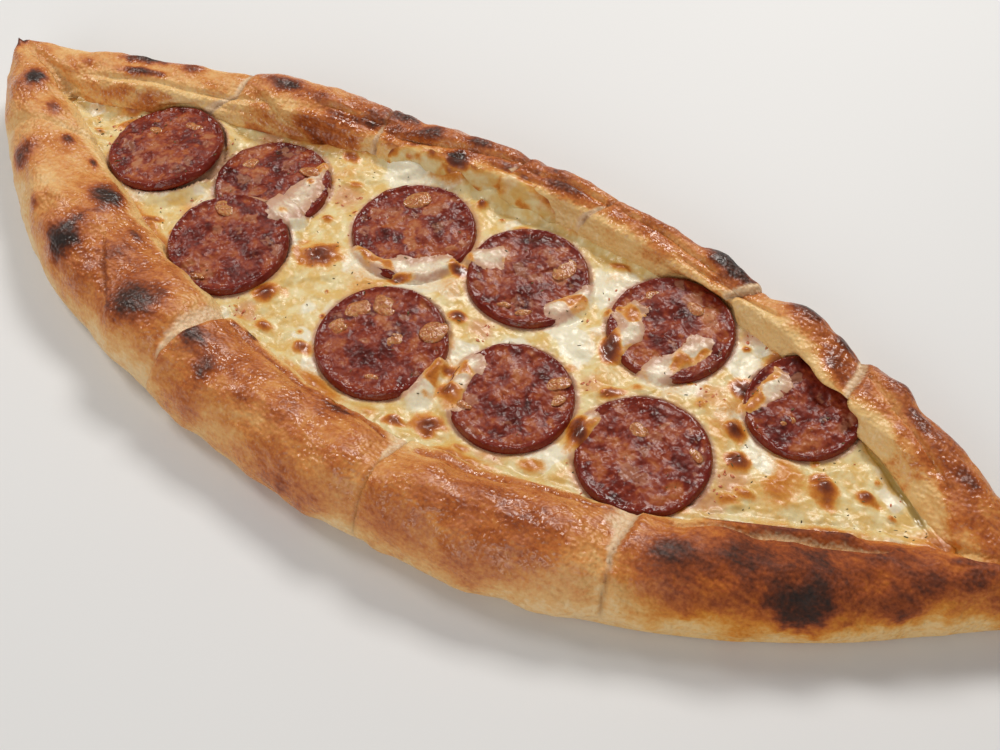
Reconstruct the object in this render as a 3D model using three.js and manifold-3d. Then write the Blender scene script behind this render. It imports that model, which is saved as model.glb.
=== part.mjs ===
// Boat-shaped Turkish flatbread (pide): a rolled dough rim round a well of molten cheese,
// with ten round slices of cured sausage on top. Millimetres, +Z up, the long way is X.
// The origin is under the middle of the bread, on the surface that it lies on.
import * as THREE from 'three';
import { mergeVertices } from 'three/addons/utils/BufferGeometryUtils.js';
import Module from 'manifold-3d';

// ---- Driving dimensions -------------------------------------------------------------------
const halfLength = 210;          // tip to tip is 420
const halfWidth = 76;            // widest place, outer wall to the midline
const crestHeight = 25.5;        // top of the rolled rim over the table
const floorHeight = 5.5;         // top of the dough under the filling
const fillingHeight = 14;        // mean level of the molten cheese
const fillingCrown = 1.2;        // how much the cheese stands higher in the middle
const clearance = 0.3;           // gap between neighbours that touch

// The two ends differ: the left one is blunt and flicks up, the right one is slim and sweeps.
// drop is the share of its height that the crest loses on its way to the tip.
const leftEnd = { taper: 2.3, fullness: 0.84, sweep: 17, sweepPower: 6, drop: -0.06 };
const rightEnd = { taper: 2.5, fullness: 1, sweep: 18, sweepPower: 2, drop: 0.12 };
const tipRadius = 4;

// The opening that shows the filling, measured from a line through its two ends.
const openingHalfLength = 174;
const openingLine = 10;
const endDraw = 4;               // at its sharp ends a gap is this many times as long
const nearOpening = {
  depth: 54,
  left: { taper: 1.8, fullness: 1 },
  right: { taper: 2.2, fullness: 1.45 },
};
const farOpening = {
  depth: 47,
  left: { taper: 1.6, fullness: 1 },
  right: { taper: 3.2, fullness: 1 },
};

// Section of the rolled rim: how far in from the outer wall, as a share of the rim's width,
// and the height as a share of the crest's.
const rimSection = [
  [0.2, 0], [0.06, 0.07], [0, 0.27], [0.02, 0.52], [0.1, 0.75], [0.24, 0.92],
  [0.43, 1], [0.62, 0.99], [0.79, 0.91], [0.92, 0.76], [0.99, 0.58],
];

// Knife cuts across the rim: x of the cut, its slant along the rim, and the side it is on.
const nearCuts = [[-59, 5], [22, 1], [95, -4]];
const farCuts = [[-120, 5], [-62, 4], [-9, -6], [27, -6], [84, -4], [128, 1]];
const cutDepth = 4;
const cutHalfWidth = 1.7;
const cutFoot = 0.7;             // the knife stops at this share of the crest's height

// Sausage slices: centre, height of the centre of the underside, radius, and the way and
// the angle that the slice leans (degrees; the edge in that direction is the raised one).
const sliceThickness = 3;
const sliceCrown = 0.7;
const sliceSides = 24;
const slices = [
  { x: -126, y: 9, z: 15.6, radius: 21.6, towards: 10, lean: 6 },
  { x: -83.5, y: 17.5, z: 13.2, radius: 21.3, towards: 60, lean: 1 },
  { x: -76.5, y: -14.5, z: 15.7, radius: 21.2, towards: 105, lean: 6 },
  { x: -27.5, y: 26.5, z: 14, radius: 22, towards: 90, lean: 1 },
  { x: 16.5, y: 31, z: 14, radius: 21.3, towards: 160, lean: 3 },
  { x: -8, y: -18.5, z: 14.5, radius: 22.2, towards: 90, lean: 4 },
  { x: 39, y: -13.5, z: 14, radius: 20.6, towards: 100, lean: 2 },
  { x: 67.5, y: 38, z: 14.1, radius: 21.4, towards: 80, lean: 3 },
  { x: 84, y: -9.5, z: 14.2, radius: 21.6, towards: 90, lean: 2 },
  { x: 117.5, y: 33.5, z: 14.6, radius: 19, towards: 70, lean: 7 },
];

// ---- Outline ------------------------------------------------------------------------------
// t runs from -1 at the left tip to +1 at the right one; side is -1 near, +1 far.
const taper = (t, shape) => (1 - Math.abs(t) ** shape.taper) ** shape.fullness;
const endOf = (t) => (t < 0 ? leftEnd : rightEnd);
const midline = (t) => endOf(t).sweep * Math.abs(t) ** endOf(t).sweepPower;

function outerPoint(t, side) {
  const rounding = Math.sqrt(2 * tipRadius * halfLength * (1 - t * t)) * t ** 12;
  const reach = Math.hypot(halfWidth * taper(t, endOf(t)), rounding);
  return new THREE.Vector2(t * halfLength, midline(t) + side * reach);
}

function innerPoint(t, side) {
  const opening = side < 0 ? nearOpening : farOpening;
  const reach = opening.depth * taper(t, t < 0 ? opening.left : opening.right);
  return new THREE.Vector2(t * openingHalfLength, openingLine + side * reach);
}

// Stations along the bread: even in angle, so that they crowd at the tips, with three more
// at each knife cut.
function stationsOf(cuts) {
  const even = 34;
  const stations = [];
  for (let i = 1; i < even; i += 1) stations.push(-Math.cos((Math.PI * i) / even));
  for (const [x] of cuts) {
    for (const step of [-cutHalfWidth, 0, cutHalfWidth]) stations.push((x + step) / halfLength);
  }
  return stations.sort((a, b) => a - b);
}

// Both sides share their stations, so that the floor can join them across the bread.
const stations = stationsOf([...nearCuts, ...farCuts]);

function crestAt(t, side) {
  const roll = 0.035 * Math.sin(9 * t + side) + 0.02 * Math.sin(23 * t + 2 * side);
  const ends = endOf(t).drop * Math.abs(t) ** 3;
  return crestHeight * (1 + roll - ends);
}

function cutAt(x, side) {
  const cuts = side < 0 ? nearCuts : farCuts;
  const nearest = Math.min(...cuts.map(([at]) => Math.abs(x - at)));
  return cutDepth * Math.exp(-((nearest / cutHalfWidth) ** 2) * 1.4);
}

// ---- Dough --------------------------------------------------------------------------------
function rimPoint(t, side, [inward, rise]) {
  const outer = outerPoint(t, side);
  const inner = innerPoint(t, side);
  const place = outer.lerp(inner, inward);
  const cuts = side < 0 ? nearCuts : farCuts;
  const cut = cuts.find(([at]) => Math.abs(t * halfLength - at) < 2 * cutHalfWidth);
  const sliced = rise > cutFoot;
  const slant = cut && sliced ? cut[1] * (0.5 - inward) : 0;
  const depth = sliced ? cutAt(t * halfLength, side) : 0;
  return new THREE.Vector3(place.x + slant, place.y, rise * crestAt(t, side) - depth);
}

function wallPoint(t, side, height, gap) {
  const outer = outerPoint(t, side);
  const inner = innerPoint(t, side);
  const inwards = inner.clone().sub(outer).normalize();
  const place = inner.addScaledVector(inwards, gap);
  return new THREE.Vector3(place.x - endDraw * gap * t, place.y, height);
}

// The tip stations t = -1 and t = +1 are shared by the two sides, so the rim is one loop:
// near side left to right, then far side right to left.
const loop = [
  { t: -1, side: -1 },
  ...stations.map((t) => ({ t, side: -1 })),
  { t: 1, side: 1 },
  ...stations.toReversed().map((t) => ({ t, side: 1 })),
];

// The place across the bread from place i of the loop; a tip is its own.
const opposite = (i) => (loop.length - i) % loop.length;

// A closed skin from rings of points round the loop. The first and last rings are closed by
// strips from the near side straight across to the far side.
function skinOf(rings) {
  const around = loop.length;
  const vertices = rings.flat().flatMap((point) => point.toArray());
  const faces = [];
  for (let ring = 0; ring + 1 < rings.length; ring += 1) {
    for (let i = 0; i < around; i += 1) {
      const next = (i + 1) % around;
      const [a, b] = [ring * around + i, ring * around + next];
      faces.push(a, b, b + around, a, b + around, a + around);
    }
  }
  const last = (rings.length - 1) * around;
  for (let i = 0; i < around / 2; i += 1) {
    const corners = [...new Set([i, i + 1, opposite(i + 1), opposite(i)])];
    for (let k = 1; k + 1 < corners.length; k += 1) {
      faces.push(corners[0], corners[k + 1], corners[k]);
      faces.push(last + corners[0], last + corners[k], last + corners[k + 1]);
    }
  }
  const geometry = new THREE.BufferGeometry();
  geometry.setAttribute('position', new THREE.Float32BufferAttribute(vertices, 3));
  geometry.setIndex(faces);
  return geometry;
}

function doughGeometry() {
  const rings = rimSection.map((section) => loop.map(({ t, side }) => rimPoint(t, side, section)));
  rings.push(loop.map(({ t, side }) => wallPoint(t, side, 0.4 * crestHeight, 0)));
  rings.push(loop.map(({ t, side }) => wallPoint(t, side, floorHeight, 1)));
  return skinOf(rings);
}

// ---- Cheese -------------------------------------------------------------------------------
function cheeseLevel(x, y) {
  const swell = 0.5 * Math.sin(x / 17 + 1) * Math.sin(y / 11) + 0.3 * Math.sin(x / 7.3 + y / 9);
  const crown = fillingCrown * (1 - (x / openingHalfLength) ** 2);
  return fillingHeight + crown + swell;
}

function cheeseGeometry() {
  const rings = [
    loop.map(({ t, side }) => wallPoint(t, side, floorHeight + clearance, 1.6)),
    loop.map(({ t, side }) => wallPoint(t, side, 0.4 * crestHeight, clearance + 0.1)),
    loop.map(({ t, side }) => wallPoint(t, side, fillingHeight - 0.6, clearance + 0.1)),
  ];
  const rim = rings[2];
  for (const share of [0.8, 0.55, 0.28]) {
    rings.push(rim.map((point, i) => {
      const middle = (point.y + rim[opposite(i)].y) / 2;
      const y = middle + (point.y - middle) * share;
      const x = point.x * (0.94 + 0.06 * share);
      return new THREE.Vector3(x, y, cheeseLevel(x, y));
    }));
  }
  return skinOf(rings);
}

// ---- Sausage slices -----------------------------------------------------------------------
function sliceProfile(radius, grow) {
  const rim = radius + grow;
  const top = sliceThickness + grow;
  return [
    [0, -grow], [rim - 0.8, -grow], [rim, 1.2], [rim - 0.4, top - 0.5], [rim - 1.6, top],
    [rim * 0.55, top + sliceCrown * 0.5], [0, top + sliceCrown],
  ].map(([r, z]) => new THREE.Vector2(r, z));
}

function place(object, { x, y, z, towards, lean }) {
  const axis = new THREE.Vector3(Math.sin(THREE.MathUtils.degToRad(towards)),
    -Math.cos(THREE.MathUtils.degToRad(towards)), 0);
  object.position.set(x, y, z);
  object.quaternion.setFromAxisAngle(axis, THREE.MathUtils.degToRad(lean));
  return object;
}

function sliceGeometry(slice, grow = 0) {
  const geometry = new THREE.LatheGeometry(sliceProfile(slice.radius, grow), sliceSides);
  return geometry.rotateX(Math.PI / 2);
}

// ---- Solids -------------------------------------------------------------------------------
const wasm = await Module();
wasm.setup();

function solidOf(geometry) {
  const bare = geometry.clone();
  bare.deleteAttribute('normal');
  bare.deleteAttribute('uv');
  const merged = mergeVertices(bare, 1e-4);
  return new wasm.Manifold(new wasm.Mesh({
    numProp: 3,
    vertProperties: new Float32Array(merged.attributes.position.array),
    triVerts: new Uint32Array(merged.index.array),
  }));
}

function geometryOf(solid) {
  const mesh = solid.getMesh();
  const geometry = new THREE.BufferGeometry();
  geometry.setAttribute('position', new THREE.BufferAttribute(mesh.vertProperties, 3));
  geometry.setIndex(new THREE.BufferAttribute(mesh.triVerts, 1));
  return geometry;
}

// A slice sinks a little into the soft cheese, and presses into the dough where it lies
// against the rim: its seat is its own shape, one gap larger.
function seated(geometry) {
  let solid = solidOf(geometry);
  for (const slice of slices) {
    const seat = place(new THREE.Object3D(), slice);
    seat.updateMatrix();
    solid = solid.subtract(solidOf(sliceGeometry(slice, clearance).applyMatrix4(seat.matrix)));
  }
  return geometryOf(solid);
}

// ---- Assembly -----------------------------------------------------------------------------
const finish = (color, roughness) => new THREE.MeshStandardMaterial({ color, roughness, metalness: 0 });

const group = new THREE.Group();

function add(name, geometry, material) {
  const mesh = new THREE.Mesh(geometry, material);
  mesh.name = name;
  group.add(mesh);
  return mesh;
}

add('dough', seated(doughGeometry()), finish(0xd9a05b, 0.55));
add('cheese', seated(cheeseGeometry()), finish(0xf0dfa8, 0.4));
slices.forEach((slice, index) => {
  const name = `slice_${String(index + 1).padStart(2, '0')}`;
  place(add(name, sliceGeometry(slice), finish(0x7a2a20, 0.35)), slice);
});

export default group;
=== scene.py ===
# A boat-shaped Turkish flatbread (pide) with molten cheese and ten slices of cured sausage.
# Sizes here are millimetres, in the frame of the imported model; meshes are made in metres.
import bmesh
import bpy
import numpy as np
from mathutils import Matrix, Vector


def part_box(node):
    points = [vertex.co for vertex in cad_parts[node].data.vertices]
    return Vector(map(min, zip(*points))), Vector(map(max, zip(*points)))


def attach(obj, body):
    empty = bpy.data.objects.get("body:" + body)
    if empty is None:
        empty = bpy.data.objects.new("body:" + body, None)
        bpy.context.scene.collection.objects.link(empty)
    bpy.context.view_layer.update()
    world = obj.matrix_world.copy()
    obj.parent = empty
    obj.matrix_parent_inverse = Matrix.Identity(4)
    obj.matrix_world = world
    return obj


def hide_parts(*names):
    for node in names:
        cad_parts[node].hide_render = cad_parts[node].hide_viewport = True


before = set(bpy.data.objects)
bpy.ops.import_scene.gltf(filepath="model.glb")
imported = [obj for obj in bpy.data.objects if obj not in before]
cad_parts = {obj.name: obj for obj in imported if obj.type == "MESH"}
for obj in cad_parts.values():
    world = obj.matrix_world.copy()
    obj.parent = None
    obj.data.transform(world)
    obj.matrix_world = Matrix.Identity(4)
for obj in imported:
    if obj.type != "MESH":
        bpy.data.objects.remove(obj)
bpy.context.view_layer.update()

MM = 0.001


# ---- Camera ----
# It looks down on the bread from its near right side, so that the bread lies aslant in view
# with its left tip far away and its right tip close by.
scene = bpy.context.scene


def put(name, data):
    """A new object in the scene."""
    thing = bpy.data.objects.new(name, data)
    scene.collection.objects.link(thing)
    return thing


camera_place = Vector((161.4, -204.3, 339.8)) * MM
camera_aim = Vector((24.8, 1.4, 0)) * MM
camera = put("camera", bpy.data.cameras.new("camera"))
camera.location = camera_place
camera.rotation_euler = (camera_aim - camera_place).to_track_quat("-Z", "Y").to_euler()
camera.data.lens = 45.25
camera.data.sensor_width = 36
camera.data.clip_start = 0.01
scene.camera = camera


# ---- Studio ----
# A wide window-like light behind the bread gives the oily glints. Weaker ones stand on its
# left and in front, and an even pale sky keeps the shadows soft.
scene.view_settings.view_transform = "Standard"
sky = bpy.data.worlds.new("sky")
sky.use_nodes = True
background = sky.node_tree.nodes["Background"].inputs
background["Color"].default_value = (1, 0.98, 0.95, 1)
background["Strength"].default_value = 0.21
scene.world = sky


def window(name, place, width, height, power):
    """A rectangular light that faces the middle of the bread."""
    lamp = bpy.data.lights.new(name, "AREA")
    lamp.shape = "RECTANGLE"
    lamp.size, lamp.size_y = width, height
    lamp.energy = power
    lamp.color = (1, 0.96, 0.91)
    holder = put(name, lamp)
    holder.location = place
    holder.rotation_euler = (-Vector(place)).to_track_quat("-Z", "Y").to_euler()


window("back_window", (-0.15, 0.95, 1.0), 0.55, 0.3, 11.0)
window("side_window", (-1.0, 0.1, 1.0), 0.35, 0.25, 5.0)
window("front_fill", (0.4, -1.2, 0.75), 1.0, 0.7, 6.5)


# ---- Crust ----
# The dough of the boat: a rolled rim, pinched to a tip at each end and slashed with a knife
# in nine places, round a thin floor. Wheat dough, glazed with egg and baked on stone, so it
# is pale at the foot and in the slashes, golden on the roll and scorched where it blistered.
_, dough_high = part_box("dough")
half_length = dough_high.x / MM
half_width = dough_high.y / MM
crest_height = 25.5
rim_width = 28
tip_radius = 4
opening_half = 174
opening_line = 10
columns = 385
wall_rows = 106


def smooth(start, end, value):
    """A soft step from 0 at start to 1 at end."""
    share = np.clip((value - start) / (end - start), 0, 1)
    return share * share * (3 - 2 * share)


def bell(gap, width):
    """A bell curve: 1 where gap is 0, down to 0.37 at width on either side."""
    return np.exp(-((gap / width) ** 2))


def lumps(points, size, seed):
    """Soft lumps in space, -1 to 1, about size across: a lattice of random values, blended."""
    reach = 32
    lattice = np.random.default_rng(seed).uniform(-1, 1, (reach,) * 3)
    turned = points @ [[0.8, 0.36, -0.48], [-0.6, 0.48, -0.64], [0, 0.8, 0.6]]
    scaled = turned / size + 0.37 * seed
    cell = np.floor(scaled).astype(int)
    share = scaled - cell
    share = share ** 3 * (share * (share * 6 - 15) + 10)
    total = np.zeros(len(points))
    for corner in np.ndindex(2, 2, 2):
        at = (cell + corner) % reach
        weight = np.prod(np.where(corner, share, 1 - share), axis=1)
        total += weight * lattice[at[:, 0], at[:, 1], at[:, 2]]
    return total * 1.4


def taper(t, power, fullness):
    return (1 - np.abs(t) ** power) ** fullness


def outer_line(t, side):
    """The rim's outer edge in plan; t is -1 to 1 from tip to tip, side -1 near and +1 far."""
    left = t < 0
    narrowing = np.where(left, taper(t, 2.3, 0.84), taper(t, 2.5, 1))
    sweep = np.where(left, 17 * np.abs(t) ** 6, 18 * t ** 2)
    rounding = np.sqrt(2 * tip_radius * half_length * (1 - t * t)) * t ** 12
    reach = np.hypot(half_width * narrowing, rounding)
    return np.stack([t * half_length, sweep + side * reach], 1)


def inner_line(t, side):
    """The edge of the opening in plan."""
    left = t < 0
    near = 54 * np.where(left, taper(t, 1.8, 1), taper(t, 2.2, 1.45))
    far = 47 * np.where(left, taper(t, 1.6, 1), taper(t, 3.2, 1))
    reach = np.where(side < 0, near, far)
    return np.stack([t * opening_half, opening_line + side * reach], 1)


def crest(t, side):
    roll = 0.035 * np.sin(9 * t + side) + 0.02 * np.sin(23 * t + 2 * side)
    ends = np.where(t < 0, -0.06, 0.12) * np.abs(t) ** 3
    return crest_height * (1 + roll - ends)


def through(points, count, scale):
    """count points evenly spread along a smooth line through a few points."""
    points = np.array(points, float)
    ends = [2 * points[:1] - points[1:2], points, 2 * points[-1:] - points[-2:-1]]
    padded = np.vstack(ends)
    share = np.linspace(0, 1, 30, endpoint=False)[:, None]
    pieces = []
    for a, b, c, d in zip(padded, padded[1:], padded[2:], padded[3:]):
        slope = (c - a) * share
        bend = (2 * a - 5 * b + 4 * c - d) * share ** 2
        twist = (3 * b - a - 3 * c + d) * share ** 3
        pieces.append(b + (slope + bend + twist) / 2)
    line = np.vstack(pieces + [points[-1:]])
    steps = np.hypot(*(np.diff(line, axis=0) * scale).T)
    travelled = np.concatenate([[0], np.cumsum(steps)])
    even = np.linspace(0, travelled[-1], count)
    return np.stack([np.interp(even, travelled, line[:, k]) for k in (0, 1)], 1)


# Sections of the rim: how far in from the outer edge, as a share of the rim's width, and the
# height as a share of the crest's. The inner lip of the far roll bulges over the cheese.
near_section = [
    (0.2, 0), (0.07, 0.05), (0, 0.24), (0.015, 0.48), (0.09, 0.72), (0.23, 0.91), (0.42, 1),
    (0.54, 0.995), (0.66, 0.965), (0.78, 0.9), (0.91, 0.79), (0.99, 0.64), (1, 0.52),
    (0.96, 0.4), (1, 0.24), (1.12, 0.22),
]
far_section = [
    (0.2, 0), (0.07, 0.05), (0, 0.25), (0.02, 0.5), (0.08, 0.74), (0.19, 0.91), (0.34, 0.99),
    (0.48, 1), (0.62, 0.99), (0.76, 0.955), (0.88, 0.885), (0.98, 0.77), (1.03, 0.65),
    (1.02, 0.54), (0.96, 0.42), (1, 0.24), (1.12, 0.22),
]

# Knife slashes: the line of the cut in plan from lip to foot, its depth, half its width, how
# far the bare crumb reaches on its left at the lip, the middle and the foot, and how much its
# right-hand lip stands higher.
slashes = [
    ([(-54, -38), (-57, -51), (-62, -70)], 1.4, 1.2, (6.8, 6.4, 0.2), 1.6),
    ([(22, -44), (22, -62), (24, -80)], 0.9, 0.6, (5.2, 0.6, 0), 0.5),
    ([(94, -29), (95, -46), (100, -62)], 1.1, 0.6, (9, 2.2, 0), 0.7),
    ([(-124, 29), (-118, 39), (-120, 58)], 0.9, 0.8, (2.6, 2.2, 0.8), 0.4),
    ([(-60, 42), (-65, 68)], 0.9, 0.8, (2, 0.4, 0), 0.4),
    ([(-13, 55), (-6, 78)], 0.9, 0.8, (2.4, 0.6, 0), 0.5),
    ([(21, 58), (32, 78)], 0.9, 0.8, (2.4, 0.8, 0), 0.3),
    ([(79, 56), (84, 62), (89, 74)], 1.1, 1, (2.2, 3.2, 0.8), -0.6),
    ([(130, 40), (127, 58)], 0.8, 0.9, (2.6, 2.4, 0.6), 0.6),
]

# Folds in the roll: the line, its depth, half its width, how much the dough on its left
# stands proud, and how brown the fold is (below 0: how much bare crumb it shows).
folds = [
    ([(-203, 15), (-192, 14.5), (-182, 13), (-172, 10)], 2.4, 1.8, 0.2, 0),
    ([(196, 16), (184, 13), (171, 10)], 2.2, 1.6, 0.2, 0),
    ([(-174, -12), (-166, -9), (-158, -6), (-149, -2)], 0.5, 1.3, 0.5, 0),
    ([(-105, -42), (-98, -50), (-88, -61)], 0.3, 1.8, 1, 0.66),
    ([(104, -26.5), (122, -16.5), (139, -9), (158, -1.5)], 3, 1.4, -0.3, -1),
    ([(-107, 43), (-97, 40.5), (-86, 41)], 1.4, 1, 0.8, 0),
    ([(-84, 53), (-74, 56), (-66, 58)], 0.8, 1.2, 0.7, 0),
    ([(-50, 57), (-30, 64), (-16, 67)], 1.1, 1.3, 0.7, 0),
    ([(0, 66), (14, 68), (24, 68)], 0.9, 1.2, 0.6, 0),
    ([(36, 67), (52, 66), (70, 62)], 1, 1.2, 0.7, 0),
    ([(131, 50), (146, 41), (162, 30)], 1, 1.2, 0.5, 0),
    ([(-50, -42), (-20, -46.5), (15, -47)], 0.5, 1, 0.3, 0.55),
    ([(28, -46), (60, -40.5), (88, -31.5)], 0.6, 1, 0.3, 0.5),
]

# A thin flap of dough along the near lip, on the right, that browned on its own: its line,
# its height over the roll and half its width.
flap_line = [(108, -20.5), (123, -12.2), (139, -5.2), (152, -0.6)]
flap_height, flap_half = 3.4, 2.0

# Scorched blisters: place along the bread, share of the way in, half their length and width,
# and how dark they are. The last two near ones, low on the wall, are partly painted shade.
near_scorch_and_shade = [
    (-184, 0.5, 4.2, 3.6, 1), (-168, 0.66, 4, 2.5, 0.7), (-163, 0.2, 5.4, 6, 0.8),
    (-154, 0.7, 2.6, 2.2, 0.85), (-139, 0.84, 2.6, 1.2, 0.85), (-121, 0.77, 5.6, 4.6, 1),
    (-120, 0.25, 5.8, 7.8, 1), (-142, 0.19, 3, 3, 0.6), (-101, 0.78, 3.6, 2.2, 0.75),
    (-99, 0.54, 2.2, 4.2, 0.72), (-79, 0.38, 9, 7.6, 0.9), (-54, 0.51, 4.6, 3.8, 0.86),
    (-44, 0.36, 3.4, 3.6, 0.8), (-44, 0.96, 3.2, 1.4, 0.8), (-2, 0.86, 3.8, 1.8, 0.9),
    (-27, 0.35, 3.4, 3, 0.58), (-13, 0.39, 3.2, 3, 0.56), (41, 0.35, 4, 3, 0.55),
    (52, 0.36, 9, 6, 0.56), (53, 0.62, 4.4, 3, 0.6), (72, 0.5, 8, 6, 0.6),
    (109, 0.5, 5.6, 4.4, 0.86), (127, 0.52, 6.4, 4.8, 0.84), (147, 0.14, 9, 8, 0.98),
    (155, 0.58, 4.4, 3, 0.66), (170, 0.12, 5, 4, 0.75), (173, 0.3, 5.4, 4, 0.78),
    (184, 0.32, 5, 4, 0.8), (180, 0.58, 7, 2, 0.75), (130, 0.93, 12, 2.2, 0.74),
    # These two are brown skin and partly painted shade, low on the near wall in the middle.
    (34, 0.1, 11, 9, 0.52), (62, 0.08, 9, 7, 0.48),
]
far_scorch = [
    (-158, 0.3, 8, 3, 0.95), (-154, 0.6, 8, 1.8, 0.85), (-141, 0.34, 4.4, 2.6, 0.75),
    (-176, 0.5, 2.6, 2, 0.55), (-103, 0.46, 7, 2.8, 0.88), (-88, 0.54, 5, 2, 0.66),
    (-68, 0.6, 3.8, 2.6, 0.88), (-58, 0.36, 5.4, 3.2, 0.88), (-45, 0.56, 4.8, 3.2, 0.9),
    (-31, 0.8, 4.6, 3.2, 1), (-27, 0.44, 5, 3, 0.88), (9, 0.54, 7, 3, 0.88),
    (43, 0.42, 4.4, 2.2, 0.66), (72, 0.22, 7.5, 4.2, 1), (77, 0.38, 5, 3, 0.92),
    (103, 0.29, 5.4, 3.2, 0.88), (119, 0.3, 4.4, 3, 0.82), (140, 0.32, 4.2, 3, 0.66),
    (150, 0.46, 6, 3, 0.78), (169, 0.46, 5.4, 2.6, 0.78), (190, 0.4, 5, 2.4, 0.6),
]


def beside(points, line):
    """Distance in plan from points to a line through a few points, positive on its left."""
    nearest = np.full(len(points), np.inf)
    signed = nearest.copy()
    for start, end in zip(np.array(line[:-1], float), np.array(line[1:], float)):
        along = end - start
        share = np.clip((points - start) @ along / (along @ along), 0, 1)
        gap = points - start - share[:, None] * along
        distance = np.hypot(gap[:, 0], gap[:, 1])
        turn = np.where(along[0] * gap[:, 1] - along[1] * gap[:, 0] < 0, -1, 1)
        signed = np.where(distance < nearest, turn * distance, signed)
        nearest = np.minimum(distance, nearest)
    return signed


# Where the sausage slices lie, worked out from their solids.
slice_names = sorted(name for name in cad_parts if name.startswith("slice_"))
slice_thickness = 3.0
slice_crown = 0.55  # how much higher a slice is in its middle


def seat_of(node):
    """Underside centre, axes (two in its plane, then up) and radius of a slice's solid."""
    corners = np.array([v.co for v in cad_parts[node].data.vertices]) / MM
    corners = np.unique(np.round(corners, 3), axis=0)
    middle = corners.mean(0)
    offset = corners - middle
    _, axes = np.linalg.eigh(np.cov(offset.T))
    up = axes[:, 0] * np.sign(axes[2, 0])
    right = np.cross((0, 1, 0), up)
    right /= np.linalg.norm(right)
    ahead = np.cross(up, right)
    radius = np.hypot(offset @ right, offset @ ahead).max()
    return middle + up * (offset @ up).min(), right, ahead, up, radius


seats = {name: seat_of(name) for name in slice_names}


# The columns of the mesh are spread evenly along the outer edge, closer at the slashes.
fine = -np.cos(np.linspace(0, np.pi, 20001))
edge_steps = np.hypot(*np.diff(outer_line(fine, -1), axis=0).T)
slash_places = [line[1][0] for line, *_ in slashes]
crowding = 1 + sum(0.9 * bell(fine[1:] * half_length - x, 5) for x in slash_places)
travelled = np.concatenate([[0], np.cumsum(edge_steps * crowding)])
stations = np.interp(np.linspace(0, travelled[-1], columns), travelled, fine)

loop_t = np.concatenate([stations, stations[-2:0:-1]])
loop_side = np.concatenate([-np.ones(columns), np.ones(columns - 2)])
around = len(loop_t)
foot = [(0.42, 0), (0.31, 0)]
scale = (rim_width, crest_height)
near_rows = np.vstack([foot, through(near_section, wall_rows, scale)])
far_rows = np.vstack([foot, through(far_section, wall_rows, scale)])
rows = len(near_rows)

farness = 0.5 + 0.5 * loop_side * (1 - np.abs(loop_t) ** 16)
blend = farness[:, None]
section = near_rows[:, None] * (1 - blend) + far_rows[:, None] * blend
inward, rise = section[..., 0], section[..., 1]
edge = outer_line(loop_t, loop_side)
lip = inner_line(loop_t, loop_side)
plan = edge + inward[..., None] * (lip - edge)
height = rise * crest(loop_t, loop_side)
grid = np.concatenate([plan, height[..., None]], 2)


def outward(surface):
    """Unit normals of a grid of points that closes on itself along its second direction."""
    along = np.roll(surface, -2, 1) - np.roll(surface, 2, 1)
    across = np.gradient(surface, axis=0)
    normal = np.cross(along, across)
    return normal / np.maximum(np.linalg.norm(normal, axis=2, keepdims=True), 1e-6)


normals = outward(grid).reshape(-1, 3)
raw = grid.reshape(-1, 3)
raw_x, raw_y, raw_plan = raw[:, 0], raw[:, 1], raw[:, :2]
farness = np.tile(farness, rows)
inward, rise = inward.ravel(), rise.ravel()
calm = 1 - 0.6 * smooth(0.93, 1, inward)
off_table = smooth(0.02, 0.2, rise) * (1 - smooth(1, 1.06, inward))

# The roll's own unevenness: dents, small dimples and the leathery wrinkles of the skin.
dents = 1.3 * lumps(raw, 34, 1) + 0.85 * lumps(raw, 15, 2)
dimples = 0.44 * lumps(raw, 7, 3) + 0.2 * lumps(raw, 4, 4)
stretched = raw * (0.55, 1, 1)
wrinkles = 0.11 * (1 - 2 * np.abs(lumps(stretched, 3.2, 5))) + 0.07 * lumps(raw, 1.9, 6)
skin = smooth(0.3, 0.7, rise) * calm
swelling = (dents + dimples) * calm + wrinkles * (0.35 + 0.65 * skin)

# Slashes and folds open the roll, and the dough between two slashes swells.
crumb = np.zeros(len(raw))
on_top = smooth(-0.25, 0.3, normals[:, 2] + 0.55 * smooth(0.35, 0.8, rise))
ragged = 1 + 0.25 * lumps(raw, 6, 7) + 0.12 * lumps(raw, 2.2, 8)
slash_crevice_shade = np.zeros(len(raw))
for line, depth, half, bares, lift in slashes:
    gap = beside(raw_plan, line)
    bare = np.interp(inward, (0.05, 0.5, 0.95), bares[::-1])
    same_side = smooth(0, 6, raw_y * np.sign(line[1][1]))
    low_part = smooth(0.12, 0.55, rise)
    groove = bell(gap, half) * same_side
    swelling -= depth * groove * (0.25 + 0.75 * low_part) * ragged
    swelling -= 0.9 * bell(gap, 10) * same_side
    right = -np.sign(gap) * np.sign(line[1][1])
    swelling += lift * right * bell(np.abs(gap) - half - 1, 4) * same_side * low_part
    # A thin dark line down each slash, below its lip, is painted shade in the crevice.
    slash_crevice_shade = np.maximum(slash_crevice_shade, bell(gap, 0.8) * same_side * low_part)
    reach = np.where(right > 0, 0.5, np.maximum(bare, 0.4)) * ragged
    bareness = np.exp(-((np.abs(gap) / reach) ** 3)) * same_side * low_part
    crumb = np.maximum(crumb, bareness * smooth(0.2, 1.4, bare) * smooth(0, 0.2, on_top))
crease = np.zeros(len(raw))
fold_brown = np.zeros(len(raw))
for line, depth, half, lift, tint in folds:
    gap = beside(raw_plan, line)
    groove = bell(gap, half) * on_top
    swelling -= depth * groove * (0.8 + 0.2 * ragged)
    swelling += lift * np.sign(gap) * bell(np.abs(gap) - half, 5) * on_top
    crease = np.maximum(crease, groove * (tint == 0))
    crumb = np.maximum(crumb, groove * max(-tint, 0))
    fold_brown = np.maximum(fold_brown, bell(gap, 2.4) * on_top * tint)
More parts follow.
